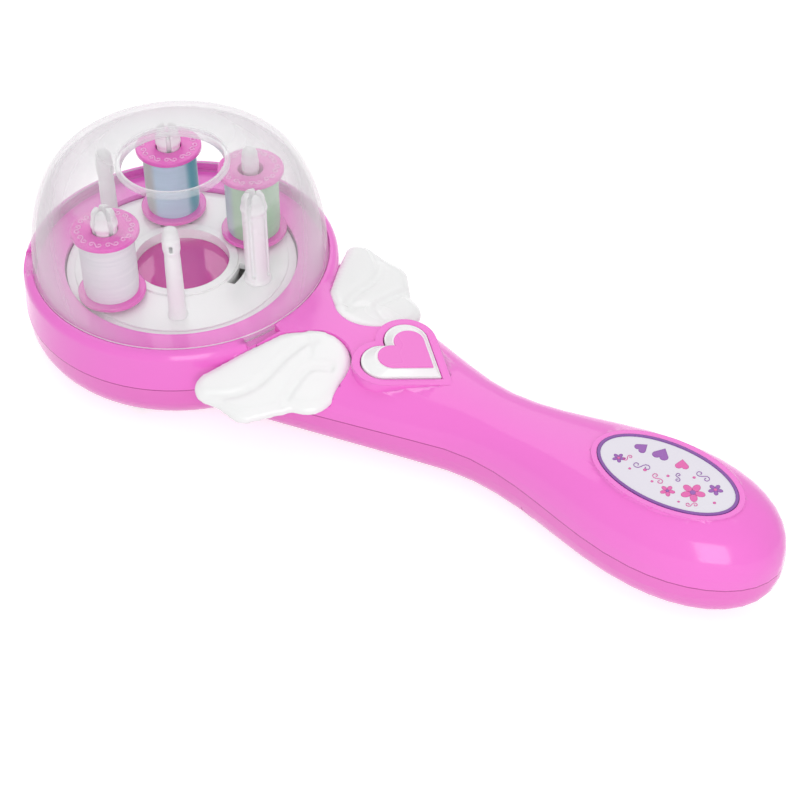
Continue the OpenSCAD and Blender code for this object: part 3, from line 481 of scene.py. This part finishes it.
shell_pink = finish("shell pink", (249, 116, 217), (251, 121, 220), rough=(0.12, 0.18), coat=0.2, seam=True)
shell_lower = finish("lower shell pink", (242, 112, 207), (244, 117, 210), rough=(0.13, 0.2), coat=0.2, seam=True)
post_white = finish("milky plastic", (248, 250, 250), (252, 252, 252), rough=(0.25, 0.35), glow=0.15)
white_gloss = finish("white plastic", (249, 250, 250), (252, 252, 252), rough=(0.2, 0.28), coat=0.2)
spool_pink = finish("spool pink", (236, 106, 200), (240, 112, 204), rough=(0.14, 0.2), coat=0.3)
# The scrolls are a lighter pink than the spool: a painted highlight on the raised curls.
scroll_highlight_pink = finish("scroll highlight pink", (250, 172, 228), rough=(0.14, 0.2), coat=0.3)
cup_pink = finish("cup pink", (212, 84, 168), (218, 92, 174), rough=(0.04, 0.07), coat=0.5)
heart_pink = finish("heart pink", (247, 122, 214), (248, 127, 217), rough=(0.25, 0.32))
badge_ground = finish("badge ground", (232, 226, 238), (234, 232, 240), rough=(0.2, 0.28))
badge_violet = finish("badge violet", (128, 66, 160), (140, 80, 172), rough=(0.2, 0.3))
nylon = finish("nylon", (228, 227, 220), rough=(0.4, 0.5))
bright_steel = finish("bright steel", (190, 192, 196), rough=(0.25, 0.38), metal=1.0, edge=0.1)
brass_tone = finish("turned brass", (214, 182, 116), rough=(0.2, 0.3), metal=1.0, edge=0.05)
can_steel = finish("motor can steel", (196, 198, 202), rough=(0.3, 0.45), metal=1.0, edge=0.3)
black_plastic = finish("black plastic", (32, 32, 34), rough=(0.45, 0.6))
board_brown = finish("switch board", (140, 104, 58), (150, 112, 64), rough=(0.5, 0.65), drift=400)
cell_blue = finish("cell sleeve", (58, 104, 176), (64, 112, 182), rough=(0.25, 0.35))
lead_red = finish("red lead", (196, 48, 44), rough=(0.4, 0.5))
lead_black = finish("black lead", (36, 36, 38), rough=(0.4, 0.5))

FINISH = {
    "shell_pink": shell_pink, "shell_lower": shell_lower, "white_plastic": white_gloss,
    "spool_pink": spool_pink, "floor_pink": cup_pink, "heart_pink": heart_pink,
    "badge_lilac": badge_ground, "badge_purple": badge_violet, "gear_white": nylon,
    "steel": bright_steel, "brass": brass_tone, "motor_steel": can_steel,
    "black_plastic": black_plastic, "board_brown": board_brown, "plunger_pink": cup_pink,
    "cell_blue": cell_blue, "lead_red": lead_red, "lead_black": lead_black,
}


def clear_plastic(name, tone, face_on, edge_on):
    """Clear plastic drawn as a thin lit white layer that covers more towards its edges, as a painted reflection: the
    two values say how much it whitens what is behind it, face on and edge on.
    """
    made = bpy.data.materials.new(name)
    made.use_nodes = True
    tree = made.node_tree
    shader = tree.nodes["Principled BSDF"]
    shader.inputs["Base Color"].default_value = linear(*tone)
    shader.inputs["Roughness"].default_value = 0.03
    shader.inputs["IOR"].default_value = 1.5
    facing = tree.nodes.new("ShaderNodeLayerWeight")
    facing.inputs["Blend"].default_value = 0.5
    # The edge-on whitening is a painted reflection.
    painted_reflection = tree.nodes.new("ShaderNodeMapRange")
    painted_reflection.interpolation_type = "SMOOTHSTEP"
    painted_reflection.inputs["From Min"].default_value = 0.12
    painted_reflection.inputs["From Max"].default_value = 0.7
    painted_reflection.inputs["To Min"].default_value = face_on
    painted_reflection.inputs["To Max"].default_value = edge_on
    tree.links.new(facing.outputs["Facing"], painted_reflection.inputs["Value"])
    tree.links.new(painted_reflection.outputs["Result"], shader.inputs["Alpha"])
    return made


dome_clear = clear_plastic("clear dome", (235, 236, 237), 0.012, 0.4)
# The mouth ring is drawn whiter than the dome: a painted highlight.
mouth_rim_highlight = clear_plastic("clear rim highlight", (244, 245, 247), 0.2, 0.8)
# A near-white band on the clear dome: a painted highlight of its rim edge.
rim_highlight = clear_plastic("painted rim highlight", (250, 251, 252), 0.8, 0.9)
lug_clear = clear_plastic("clear lug", (240, 230, 238), 0.03, 0.16)


def thread_finish(name, tone, tone_2, shaded_sides=()):
    """Thread wound in fine turns, with painted shade: a darker stripe of another tone on each side that is given."""
    made = bpy.data.materials.new(name)
    made.use_nodes = True
    tree = made.node_tree
    shader = tree.nodes["Principled BSDF"]
    shader.inputs["Roughness"].default_value = 0.55
    shader.inputs["Sheen Weight"].default_value = 0.25
    place = tree.nodes.new("ShaderNodeTexCoord")
    turns = tree.nodes.new("ShaderNodeTexWave")
    turns.bands_direction = "Z"
    turns.inputs["Scale"].default_value = 620
    turns.inputs["Distortion"].default_value = 1.2
    turns.inputs["Detail"].default_value = 2
    tree.links.new(place.outputs["Object"], turns.inputs["Vector"])
    slow = tree.nodes.new("ShaderNodeTexNoise")
    slow.inputs["Scale"].default_value = 160
    stretch = tree.nodes.new("ShaderNodeMapping")
    stretch.inputs["Scale"].default_value = (0.2, 0.2, 4.5)
    tree.links.new(place.outputs["Object"], stretch.inputs["Vector"])
    tree.links.new(stretch.outputs["Vector"], slow.inputs["Vector"])
    blend = tree.nodes.new("ShaderNodeMix")
    blend.data_type = "RGBA"
    blend.inputs["A"].default_value = linear(*tone)
    blend.inputs["B"].default_value = linear(*tone_2)
    tree.links.new(slow.outputs["Fac"], blend.inputs["Factor"])
    colour = blend.outputs["Result"]
    # Where the normal faces a given way the colour turns darker: painted shade on that side.
    for way, shade_tone in shaded_sides:
        side = tree.nodes.new("ShaderNodeVectorMath")
        side.operation = "DOT_PRODUCT"
        normal = tree.nodes.new("ShaderNodeTexCoord")
        side.inputs[1].default_value = way
        tree.links.new(normal.outputs["Normal"], side.inputs[0])
        reach = tree.nodes.new("ShaderNodeMapRange")
        reach.interpolation_type = "SMOOTHSTEP"
        reach.inputs["From Min"].default_value = 0.86
        reach.inputs["From Max"].default_value = 0.99
        tree.links.new(side.outputs["Value"], reach.inputs["Value"])
        painted_shade = tree.nodes.new("ShaderNodeMix")
        painted_shade.data_type = "RGBA"
        painted_shade.inputs["B"].default_value = linear(*shade_tone)
        tree.links.new(reach.outputs["Result"], painted_shade.inputs["Factor"])
        tree.links.new(colour, painted_shade.inputs["A"])
        colour = painted_shade.outputs["Result"]
    tree.links.new(colour, shader.inputs["Base Color"])
    bump = tree.nodes.new("ShaderNodeBump")
    bump.inputs["Strength"].default_value = 0.5
    bump.inputs["Distance"].default_value = 0.00015
    tree.links.new(turns.outputs["Fac"], bump.inputs["Height"])
    tree.links.new(bump.outputs["Normal"], shader.inputs["Normal"])
    return made


# The blue and green threads get darker stripes on given sides: painted shade.
threads = [thread_finish("white thread", (250, 250, 252), (228, 230, 235)),
           thread_finish("blue thread", (208, 234, 250), (188, 219, 230),
                         [((0.97, 0.2, 0.1), (75, 168, 184)), ((-0.35, -0.93, 0.0), (196, 206, 200))]),
           thread_finish("green thread", (188, 228, 192), (170, 214, 176), [((-0.5, -0.86, 0.0), (176, 200, 206))])]

slots = {row["node"]: row["material_slot"] for row in frame["record"]["subparts"]}
for name, obj in nodes.items():
    obj.data.materials.clear()
    if name.startswith("thread_"):
        obj.data.materials.append(threads[int(name[-1]) - 1])
    elif name == "dome_cover":
        obj.data.materials.append(dome_clear)
    else:
        obj.data.materials.append(FINISH[slots[name]])


def put(obj, body, node=None, made_of=None):
    """Gives a finished piece its finish and its body, and hides the CAD piece that it stands for."""
    if made_of:
        obj.data.materials.clear()
        obj.data.materials.append(made_of)
    if node:
        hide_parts(node)
    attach(obj, body)


# ---------- pieces that keep their CAD shape ----------
body_of = {node: body for body, members in frame["record"]["behaviour"]["bodies"].items() for node in members}
KEPT = ("upper_shell", "lower_shell", "battery_door", "carrier_disc", "centre_cup", "badge_plate", "badge_rim")
for name in KEPT:
    put(polished(name, 24 if "shell" in name or "door" in name else 32), body_of[name], name)

for name, width in (("heart_button", 0.7), ("heart_cap", 0.18)):
    heart = polished(name)
    rounded(heart, width, 4, 28)
    smooth(heart, 40)
    put(heart, "button", name)


# ---------- heart ----------
HEART_X, HEART_L, HEART_W, HEART_GAP = 87.4, 22.1, 13.7, 0.2
PAD_TOP, PAD_FALL, PAD_W, PAD_DEPTH, PAD_PROUD = 32.7, 2.1, 3.0, 6.2, 0.03


def heart_outline(grow, length=HEART_L, half=HEART_W, steps=22):
    """The outline of a heart whose tip points along x, with its lobes at the origin."""
    lobe = half * 0.53
    side = half - lobe
    back = sqrt(lobe * lobe - side * side)
    r, tip = lobe + grow, length + grow * 1.6
    reach = hypot(tip - back, side)
    first = atan2(side, back - tip) - asin(r / reach) - pi / 2
    last = pi + asin(side / r)
    turns = [first + (last - first) * k / steps for k in range(steps + 1)]
    arc = [(back + r * cos(turn), side + r * sin(turn)) for turn in turns]
    return [(tip, 0)] + arc + [(x, -y) for x, y in arc[-2::-1]]


pad = less(plate("heart_pad", heart_outline(PAD_W + PAD_PROUD), -PAD_DEPTH, PAD_PROUD),
           plate("pad_hole", heart_outline(HEART_GAP), -8, 2))
rounded(pad, 0.7, 4, 60)
pad.data.transform(Matrix.Translation((HEART_X * MM, 0, PAD_TOP * MM))
                   @ Matrix.Rotation(atan(PAD_FALL / HEART_L), 4, "Y"))
smooth(pad, 40)
put(pad, "housing", made_of=shell_pink)


# ---------- wings ----------
# A wing is the plain one of the model, cut along its feathers and then melted into soft forms.
WING_Z, WING_SLOPE_X, WING_SLOPE_Y = 41.4, 0.13, 0.249
GROOVES = [
    [(48, 46.5), (52, 43.6), (55.5, 41), (58.8, 36.3), (60.4, 30), (60.6, 24), (61, 18.6), (62.4, 14), (64, 10.5)],
    [(71, 36.5), (70.6, 33), (69.8, 27.6), (69.6, 22), (69.9, 18.5), (72.6, 16.8), (77.2, 15)],
    [(68.2, 17), (67, 15.4), (65.8, 13.6), (65.2, 11), (65.9, 8)],
]
DEPTHS = (1.3, 1.2, 0.7)
GROOVE_R, GROOVE_LIFT = 2.4, 0.8
WING_VOXEL, WING_STEPS, WING_SWELL = 0.4, 45, 0.35


def wing_top(x, y):
    return WING_Z - WING_SLOPE_X * x - WING_SLOPE_Y * abs(y)


def wing(node, side):
    obj = polished(node)
    for route, depth in zip(GROOVES, DEPTHS):
        less(obj, wire("groove", [(x, side * y, wing_top(x, y) + GROOVE_LIFT + GROOVE_R - depth) for x, y in route],
                       GROOVE_R))
    put(melted(obj, WING_VOXEL, WING_STEPS, WING_SWELL), "housing", node)


wing("near_wing", -1)
wing("far_wing", 1)


# ---------- spools ----------
POST_CIRCLE = 28.7
SPOOL_Z, SPOOL_H, SPOOL_R, FLANGE_T, BARREL_R, BORE_R, THREAD_R = 29.2, 27.2, 11.5, 1.7, 5.6, 4.26, 9.4
SPOOL_TURNS = (-104.7, 135.3, 67.3)
SCROLLS, SCROLL_R, SCROLL_T = 10, 1.2, 0.27
SPOOL_SIDES = 72


def curl_route(size):
    """An S-curl: two spirals that meet in its middle."""
    route = []
    for way in (-1, 1):
        curl = [(size * way * (1.05 - (1 - 0.07 * k) * cos(0.62 * k)), size * way * (1 - 0.07 * k) * sin(0.62 * k))
                for k in range(12)]
        route += curl[::-1] if way < 0 else curl
    return route


def scroll(turn):
    """One raised S-curl of a flange, in a lighter pink that is a painted highlight on it."""
    route = curl_route(SCROLL_R)
    mid_r = SPOOL_R - 2.6
    obj = wire("scroll", [(mid_r + y, x, SPOOL_Z + SPOOL_H + 0.02) for x, y in route], SCROLL_T, False, 1)
    turned(obj, turn)
    obj.data.materials.append(scroll_highlight_pink)
    return obj


def spool():
    top = SPOOL_Z + SPOOL_H
    soft = 0.35
    flange = [(-soft, 0), (0, soft), (0, FLANGE_T - soft), (-soft, FLANGE_T)]
    low = [(SPOOL_R + r, SPOOL_Z + z) for r, z in flange]
    high = [(SPOOL_R + r, top - FLANGE_T + z) for r, z in flange]
    profile = ([(BORE_R, SPOOL_Z + soft), (BORE_R + soft, SPOOL_Z)] + low + [(BARREL_R, SPOOL_Z + FLANGE_T),
               (BARREL_R, top - FLANGE_T)] + high + [(BORE_R + 0.7, top), (BORE_R + 0.2, top - 0.3),
               (BORE_R, top - 1.0), (BORE_R, SPOOL_Z + soft)])
    obj = spun("spool", profile, SPOOL_SIDES, closed=True)
    obj.data.materials.append(spool_pink)
    joined(obj, *[scroll(360 / SCROLLS * k) for k in range(SCROLLS)])
    smooth(obj, 35)
    return obj


def thread():
    low, high = SPOOL_Z + FLANGE_T + 0.05, SPOOL_Z + SPOOL_H - FLANGE_T - 0.05
    steps = 16
    side = [(THREAD_R - 0.35 * abs(2 * k / steps - 1) ** 6 - 0.05 * (k % 2), low + (high - low) * k / steps)
            for k in range(steps + 1)]
    core = BARREL_R + 0.02
    obj = spun("thread", [(core, low)] + side + [(core, high), (core, low)], SPOOL_SIDES, closed=True)
    smooth(obj, 35)
    return obj


spool_model, thread_model = spool(), thread()
for k, turn in enumerate(SPOOL_TURNS):
    for model, name, tone in ((spool_model, "spool", None), (thread_model, "thread", threads[k])):
        obj = copied(model, f"{name}_{k + 1}_piece")
        obj.data.transform(Matrix.Rotation(radians(turn), 4, "Z") @ Matrix.Translation((POST_CIRCLE * MM, 0, 0)))
        put(obj, "spool_" + "abc"[k], f"{name}_{k + 1}", tone)
for model in (spool_model, thread_model):
    bpy.data.objects.remove(model)


# ---------- posts ----------
DISC_Z, POST_TOP, FOOT_TOP = 27.8, 64.8, 29.1
SPOOL_POST_TURNS = (-104.7, 15.3, 135.3)
GUIDE_POST_TURNS = (-52.7, 67.3, 187.3)
POST_R, POST_FOOT_R, SLOT_R = 4.2, 4.76, 4.3
POST_SIDES, POST_VOXEL, POST_STEPS = 48, 0.26, 7


def spool_post():
    """A fluted post with four snap lugs near its rounded top, moulded on a low round foot."""
    up = POST_TOP
    foot = [(0.4, DISC_Z), (POST_FOOT_R, DISC_Z), (POST_FOOT_R, FOOT_TOP - 0.4), (4.5, FOOT_TOP - 0.05)]
    barbs = [(4.6, up - 6.6), (4.6, up - 5.8), (4.1, up - 4.2)]
    crown = [(3.9, up - 2), (3.1, up - 0.6), (1.8, up - 0.05), (0.4, up)]
    post = spun("post", foot + [(POST_R, FOOT_TOP), (POST_R, up - 7.6)] + barbs + crown, POST_SIDES, caps=True)
    tall = up - FOOT_TOP - 1.5
    cuts = [box("slot", (SLOT_R * cos(radians(turn)), SLOT_R * sin(radians(turn)), up - tall / 2 + 1),
                (3.6, 1.5, tall + 2), turn) for turn in (0, 90, 180, 270)]
    cuts.append(box("gap", (0, 0, up), (9, 1.3, 9)))
    cuts.append(box("gap", (0, 0, up), (1.3, 9, 9)))
    return melted(less(post, *cuts), POST_VOXEL, POST_STEPS)


def guide_post():
    """A plain post with an eyelet below its round top."""
    up = POST_TOP
    post = spun("post", [(0.4, DISC_Z), (3.6, DISC_Z), (3.3, FOOT_TOP - 0.5), (3.05, FOOT_TOP + 0.6),
                         (2.95, FOOT_TOP + 6), (2.75, up - 14), (2.6, up - 10.5), (3.0, up - 8.6), (3.0, up - 5),
                         (2.75, up - 3.6), (2.7, up - 2), (2.2, up - 0.8), (1.2, up - 0.1), (0.4, up)],
                POST_SIDES, caps=True)
    return melted(less(post, box("eyelet", (0, 0, up - 7.2), (10, 1.1, 2.8))), POST_VOXEL, POST_STEPS)


for model, name, turns in ((spool_post(), "spool_post", SPOOL_POST_TURNS),
                           (guide_post(), "guide_post", GUIDE_POST_TURNS)):
    for k, turn in enumerate(turns):
        obj = copied(model, f"{name}_{k + 1}_piece")
        obj.data.transform(Matrix.Rotation(radians(turn), 4, "Z") @ Matrix.Translation((POST_CIRCLE * MM, 0, 0)))
        put(obj, "carrier", f"{name}_{k + 1}", post_white)
    bpy.data.objects.remove(model)


# ---------- badge ----------
BADGE_X, BADGE_Z, PRINT_T = 192.6, 35.5, 0.06
motif_pink = finish("motif pink", (232, 96, 176), (236, 104, 182), rough=(0.25, 0.35))
motif_violet = finish("motif violet", (150, 84, 176), (160, 96, 186), rough=(0.25, 0.35))


def flat_shape(name, x, y, radius, sides, squash=1.0, turn=0.0, up=0.0):
    """A thin printed shape that lies on the badge."""
    bpy.ops.object.select_all(action="DESELECT")
    bpy.ops.mesh.primitive_cylinder_add(vertices=sides, radius=radius * MM, depth=PRINT_T * MM,
                                        location=((BADGE_X + x) * MM, y * MM, (BADGE_Z + 0.02 + up) * MM),
                                        rotation=(0, 0, radians(turn)), scale=(1, squash, 1))
    obj = added(name)
    settle(obj)
    return obj


def daisy(x, y, size, tone, core):
    petals = []
    for turn in range(18, 378, 72):
        out = (x + size * 0.62 * cos(radians(turn)), y + size * 0.62 * sin(radians(turn)))
        petals.append(flat_shape("petal", *out, size * 0.46, 16, 0.72, turn))
    put(joined(*petals), "housing", made_of=tone)
    put(flat_shape("daisy_core", x, y, size * 0.26, 14, up=0.03), "housing", made_of=core)


def small_heart(x, y, size, turn, tone):
    obj = plate("small_heart", heart_outline(0, size * 1.35, size * 0.82, 12), BADGE_Z - 0.02, BADGE_Z + 0.05)
    obj.data.transform(Matrix.Translation(((BADGE_X + x) * MM, y * MM, 0)) @ Matrix.Rotation(radians(turn), 4, "Z"))
    put(obj, "housing", made_of=tone)


for x, y, size, turn, tone in ((-12.5, 4.2, 2.6, 70, motif_violet), (-5.6, 4.9, 3.2, 95, motif_violet),
                               (2.2, 5.0, 2.6, 115, motif_pink)):
    small_heart(x, y, size, turn, tone)
daisy(10.2, -2.4, 3.6, motif_pink, motif_violet)
daisy(15.2, 2.6, 2.2, motif_violet, motif_pink)
daisy(3.6, -6.2, 2.2, motif_pink, motif_violet)
daisy(-15.6, -2.6, 1.9, motif_violet, motif_pink)
for x, y, size, turn, tone in ((-8.0, -1.6, 1.5, 10, motif_violet), (-1.4, -3.4, 1.3, -35, motif_pink),
                               (9.4, 5.4, 1.4, -20, motif_violet), (-13.4, -1.0, 0.9, 60, motif_pink),
                               (12.4, -7.0, 1.0, 30, motif_pink), (3.4, 0.6, 1.0, -70, motif_violet)):
    curl = wire("badge_curl", [(u, v, BADGE_Z + 0.04) for u, v in curl_route(size)], 0.13, False, 1)
    curl.data.transform(Matrix.Translation(((BADGE_X + x) * MM, y * MM, 0)) @ Matrix.Rotation(radians(turn), 4, "Z"))
    put(curl, "housing", made_of=tone)
for x, y, size in ((-10.5, -4.6, 0.45), (-6.4, -2.4, 0.6), (-2.2, -5.4, 0.45), (0.6, -0.6, 0.5), (7.4, 3.4, 0.5),
                   (17.6, -2.4, 0.5), (8.6, -8.2, 0.4)):
    put(flat_shape("dot", x, y, size, 12), "housing", made_of=motif_pink)


# ---------- dome ----------
DOME_R, DOME_H, DOME_LEAN, DOME_WALL, FOOT_Z = 51.0, 38.2, 13.0, 1.5, 29.1
MOUTH_R, MOUTH_Z, COLLAR_H = 17.4, 68.926, 2.4
COLLAR_R, COLLAR_TOP = MOUTH_R + DOME_WALL, MOUTH_Z + COLLAR_H
RIM_HIGHLIGHT = (2.65, 3.15)      # a white line painted round the dome, above its foot: a painted highlight of its rim
LUG_R, LUG_SIZE, LUG_TURNS = 51.5, (3.6, 10.6, 1.5), (-20, 100, 220)
DOME_SIDES = 192


def dome_side(inset, steps=26):
    return [(DOME_R - inset - DOME_LEAN * (1 - cos(pi / 2 * k / steps)),
             FOOT_Z + (DOME_H - inset) * sin(pi / 2 * k / steps)) for k in range(steps + 1)]


outer = dome_side(0)
inner = dome_side(DOME_WALL)
collar = [(COLLAR_R + 0.7, MOUTH_Z - 0.1), (COLLAR_R + 0.2, MOUTH_Z + 0.15), (COLLAR_R, MOUTH_Z + 0.7),
          (COLLAR_R, COLLAR_TOP - 0.5), (COLLAR_R - 0.2, COLLAR_TOP - 0.12), (COLLAR_R - 0.5, COLLAR_TOP),
          (MOUTH_R + 0.5, COLLAR_TOP), (MOUTH_R + 0.15, COLLAR_TOP - 0.15), (MOUTH_R, COLLAR_TOP - 0.5),
          (MOUTH_R, MOUTH_Z - DOME_WALL + 0.3), (MOUTH_R + 0.3, MOUTH_Z - DOME_WALL)]
foot = [(DOME_R - 0.3, FOOT_Z)]
rise = [(DOME_R, FOOT_Z + 0.3), outer[1], (DOME_R - 0.03, FOOT_Z + RIM_HIGHLIGHT[0]),
        (DOME_R - 0.06, FOOT_Z + RIM_HIGHLIGHT[1])]
dome = spun("dome", foot + rise + outer[2:] + collar + inner[::-1] + foot, DOME_SIDES, closed=True)
lugs = []
for turn in LUG_TURNS:
    lug = box("dome_lug", (LUG_R, 0, FOOT_Z + LUG_SIZE[2] / 2), LUG_SIZE)
    rounded(lug, 0.3)
    lug.data.materials.append(lug_clear)
    turned(lug, turn)
    lugs.append(lug)
dome.data.materials.append(dome_clear)
# The collar faces get the whiter layer: a painted highlight of the mouth ring.
dress_faces(dome, mouth_rim_highlight, lambda at: (at.z > (MOUTH_Z + 0.3) * MM or hypot(at.x, at.y) < (MOUTH_R + 0.2) * MM))
# The band above the dome's foot is painted near-white: a painted highlight.
dress_faces(dome, rim_highlight, lambda at: abs(at.z - (FOOT_Z + sum(RIM_HIGHLIGHT) / 2) * MM) < 0.05 * MM)
joined(dome, *lugs)
smooth(dome, 50)
put(dome, "dome", "dome_cover")
